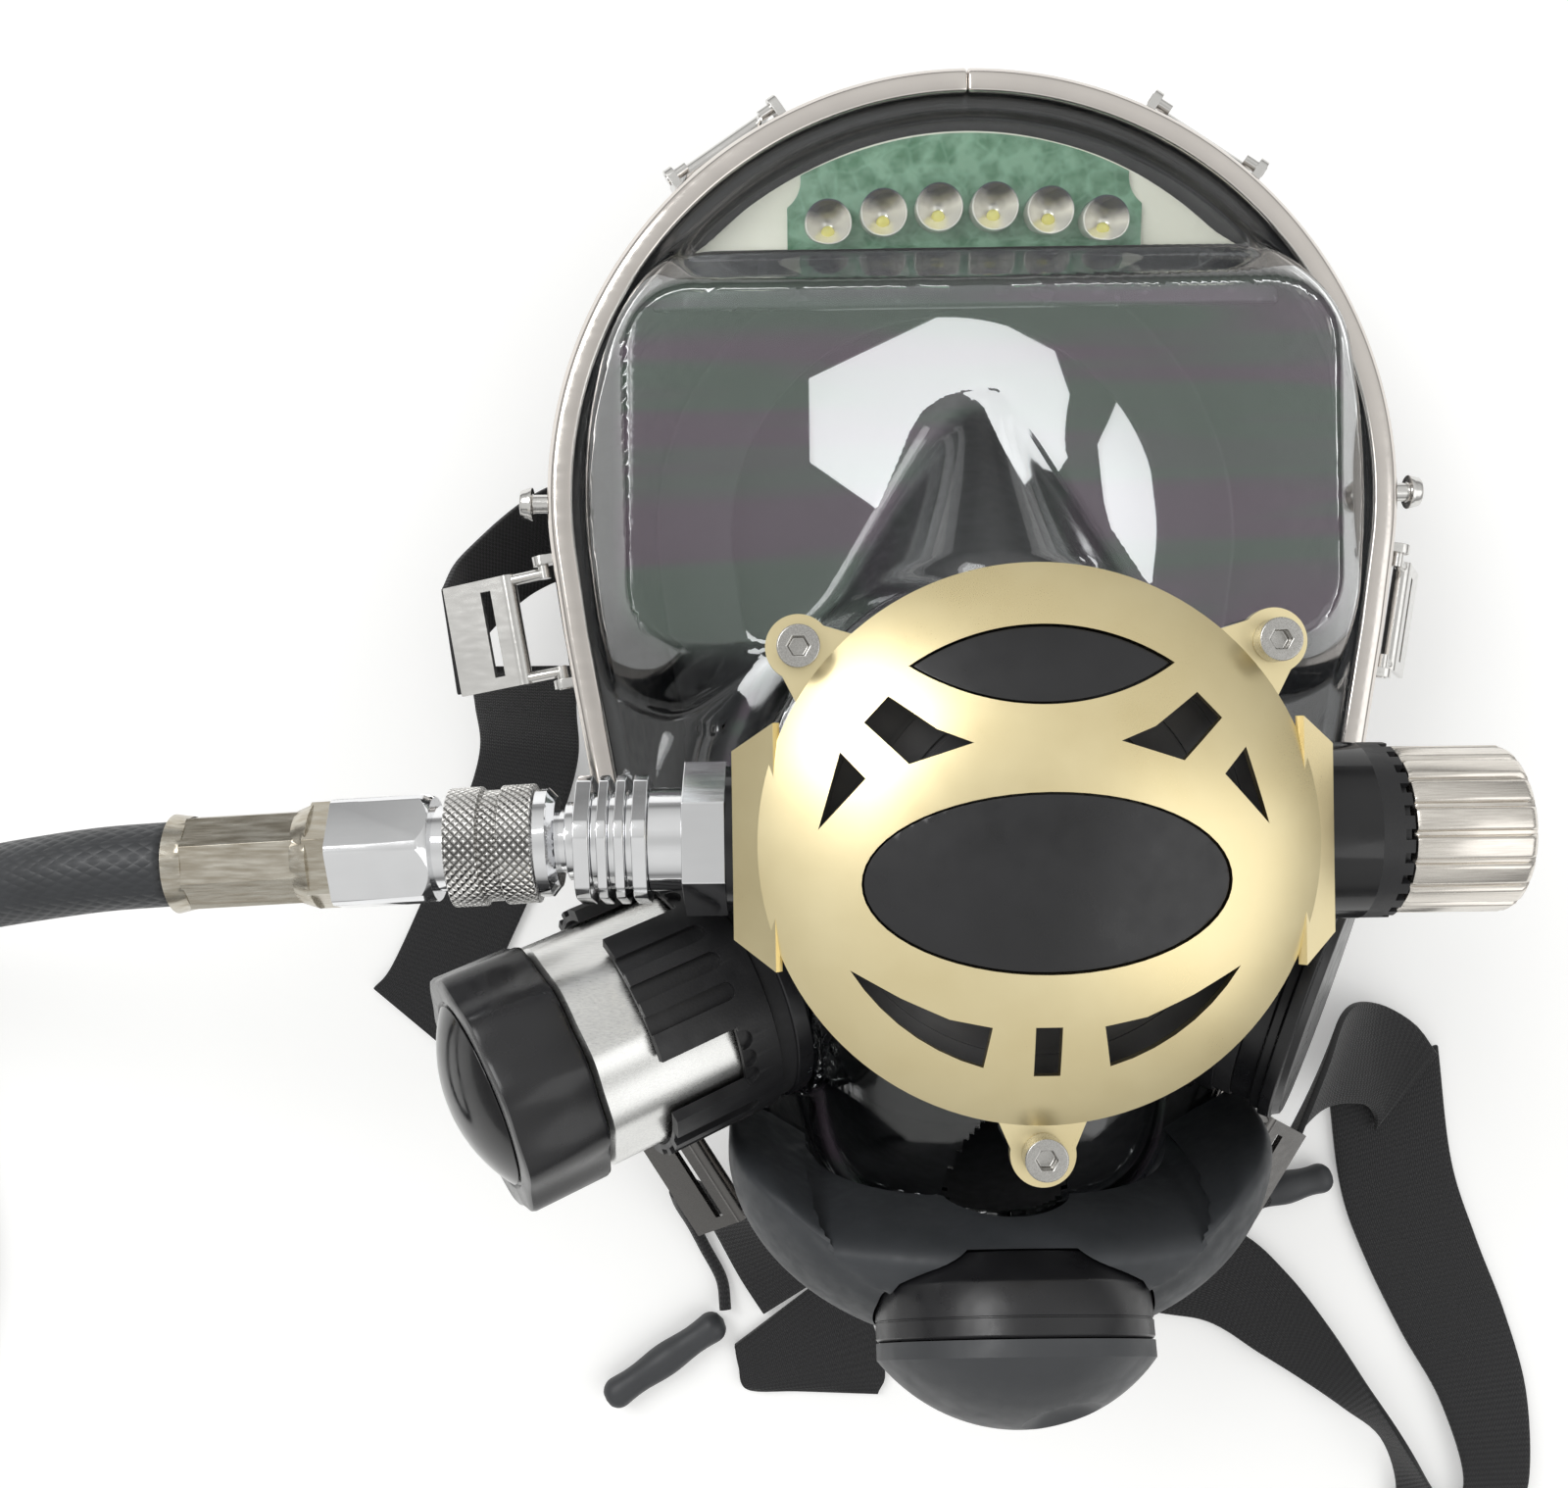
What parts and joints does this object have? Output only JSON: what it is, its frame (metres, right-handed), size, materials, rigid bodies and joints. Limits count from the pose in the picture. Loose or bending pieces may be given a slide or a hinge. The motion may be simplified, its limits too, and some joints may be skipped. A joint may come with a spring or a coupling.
{
  "type": "full-face diving mask with regulator",
  "caption": "Full-face diving mask with clear visor, demand regulator, surface-air valve, exhaust pod, brow light, head harness and quick-release supply hose.",
  "frame": {"origin": "on the regulator's axis, in the plane that the mask lies on, which is the plane of its face opening", "axes": "+Z out through the visor, +Y towards the forehead, +X towards the wearer's left"},
  "size_m": [0.562, 0.3509, 0.1596],
  "materials": {
    "warm_grey": "gloss",
    "steel": "satin",
    "clear": "polished clear plastic",
    "black_rubber": "matte",
    "black_plastic": "satin",
    "gold": "satin gold",
    "brass": "satin",
    "nickel": "satin",
    "alloy": "satin",
    "cream": "gloss",
    "green_board": "gloss",
    "reflector": "mirror",
    "fabric": "woven",
    "grey_rubber": "matte",
    "glossy_black": "gloss",
    "hose_rubber": "matte"
  },
  "bodies": {
    "mask": {"frame_left": "warm_grey", "frame_right": "warm_grey", "frame_joiners": "steel", "side_posts": "warm_grey", "buckle_lugs": "steel", "visor": "clear", "skirt": "black_rubber", "oronasal_mask": "black_rubber", "inhale_valves": "grey_rubber", "light_board": "green_board", "light_optics": "reflector", "light_tray": "cream", "regulator_housing": "black_plastic", "cover_plate": "gold", "cover_screws": "steel", "eye_pad": "black_plastic", "diaphragm": "grey_rubber", "valve_tube": "brass", "poppet_spring": "steel", "click_ring": "black_plastic", "inlet_adapter": "nickel", "finned_nut": "nickel", "qd_nipple": "nickel", "qd_body": "nickel", "qd_spring": "steel", "hose_ferrule": "brass", "hose_run": "hose_rubber", "hose_coil": "hose_rubber", "hose_fitting": "brass", "air_valve_port": "black_plastic", "air_valve_crown": "black_plastic", "air_valve_body": "alloy", "port_cover": "black_plastic", "seal_rings": "glossy_black", "exhaust_tee": "black_rubber", "pod_collar": "black_plastic", "pod_cap": "glossy_black", "head_pad": "black_rubber", "temple_straps": "fabric", "lower_straps": "fabric", "pull_cords": "fabric", "pull_toggles": "black_plastic"},
    "purge": {"purge_button": "black_plastic"},
    "diaphragm_plate": {"diaphragm_plate": "steel"},
    "lever": {"demand_lever": "steel"},
    "poppet": {"poppet": "nickel"},
    "spring_pad": {"spring_pad": "brass"},
    "knob": {"adjustment_knob": "alloy"},
    "air_knob": {"air_valve_knob": "glossy_black", "air_valve_cap": "glossy_black"},
    "air_poppet": {"air_valve_poppet": "steel"},
    "sleeve": {"qd_sleeve": "nickel"},
    "membrane": {"exhaust_membrane": "grey_rubber"},
    "buckle_top_left": {"buckle_top_left": "steel"},
    "buckle_top_right": {"buckle_top_right": "steel"},
    "buckle_temple_left": {"buckle_temple_left": "steel"},
    "buckle_temple_right": {"buckle_temple_right": "steel"},
    "buckle_lower_left": {"buckle_lower_left": "steel"},
    "buckle_lower_right": {"buckle_lower_right": "steel"}
  },
  "joints": [
    {"name": "purge_press", "type": "slide", "parent": "mask", "child": "purge", "axis": [0, 0, -1], "range_m": [0, 0.0035], "stiffness_N_per_m": 600, "springref_m": -0.002},
    {"name": "diaphragm_drop", "type": "slide", "parent": "mask", "child": "diaphragm_plate", "axis": [0, 0, -1], "range_m": [0, 0.0035], "deforming": ["diaphragm"]},
    {"name": "lever_tilt", "type": "hinge", "parent": "mask", "child": "lever", "pos_m": [0.012, 0, 0.1304], "axis": [0, -1, 0], "range_deg": [0, 10.1]},
    {"name": "poppet_slide", "type": "slide", "parent": "mask", "child": "poppet", "axis": [1, 0, 0], "range_m": [0, 0.001], "deforming": ["poppet_spring"]},
    {"name": "resistance_turn", "type": "hinge", "parent": "mask", "child": "knob", "pos_m": [0.0654, 0, 0.122], "axis": [-1, 0, 0], "range_deg": [0, 540]},
    {"name": "pad_travel", "type": "slide", "parent": "mask", "child": "spring_pad", "axis": [1, 0, 0], "range_m": [0, 0.00225]},
    {"name": "air_valve_turn", "type": "hinge", "parent": "mask", "child": "air_knob", "pos_m": [-0.0838, -0.0416, 0.10675], "axis": [-0.8605, -0.3269, 0.3907], "range_deg": [0, 90]},
    {"name": "air_poppet_slide", "type": "slide", "parent": "mask", "child": "air_poppet", "axis": [0.8605, 0.3269, -0.3907], "range_m": [0, 0.004]},
    {"name": "sleeve_pull", "type": "slide", "parent": "mask", "child": "sleeve", "axis": [-0.999, -0.0436, 0], "range_m": [0, 0.0025], "stiffness_N_per_m": 1500, "springref_m": -0.001, "deforming": ["qd_spring"]},
    {"name": "membrane_lift", "type": "slide", "parent": "mask", "child": "membrane", "axis": [0, -0.9272, 0.3746], "range_m": [0, 0.002], "stiffness_N_per_m": 30, "springref_m": -0.001},
    {"name": "top_left_hinge", "type": "hinge", "parent": "mask", "child": "buckle_top_left", "pos_m": [-0.05206, 0.14618, 0.06278], "axis": [-0.829, -0.5592, 0], "range_deg": [-35, 15]},
    {"name": "top_right_hinge", "type": "hinge", "parent": "mask", "child": "buckle_top_right", "pos_m": [0.05206, 0.14618, 0.06278], "axis": [-0.829, 0.5592, 0], "range_deg": [-35, 15]},
    {"name": "temple_left_hinge", "type": "hinge", "parent": "mask", "child": "buckle_temple_left", "pos_m": [-0.09014, 0.0435, 0.06201], "axis": [0.1635, -0.9865, 0], "range_deg": [-3, 3], "deforming": ["temple_straps"]},
    {"name": "temple_right_hinge", "type": "hinge", "parent": "mask", "child": "buckle_temple_right", "pos_m": [0.09014, 0.0435, 0.06201], "axis": [0.1635, 0.9865, 0], "range_deg": [-40, 5]},
    {"name": "lower_left_hinge", "type": "hinge", "parent": "mask", "child": "buckle_lower_left", "pos_m": [-0.05139, -0.07211, 0.06531], "axis": [0.5299, -0.848, 0], "range_deg": [-10, 20], "deforming": ["lower_straps", "pull_cords"]},
    {"name": "lower_right_hinge", "type": "hinge", "parent": "mask", "child": "buckle_lower_right", "pos_m": [0.05139, -0.07211, 0.06531], "axis": [0.5299, 0.848, 0], "range_deg": [-10, 20], "deforming": ["temple_straps", "pull_cords"]}
  ],
  "couplings": [
    {"joint": "diaphragm_drop", "follows": "purge_press", "ratio": 1},
    {"joint": "lever_tilt", "follows": "purge_press", "rad_per_m": 50},
    {"joint": "poppet_slide", "follows": "purge_press", "ratio": 0.28571},
    {"joint": "pad_travel", "follows": "resistance_turn", "m_per_rad": 0.00023873},
    {"joint": "air_poppet_slide", "follows": "air_valve_turn", "m_per_rad": 0.0025465}
  ]
}
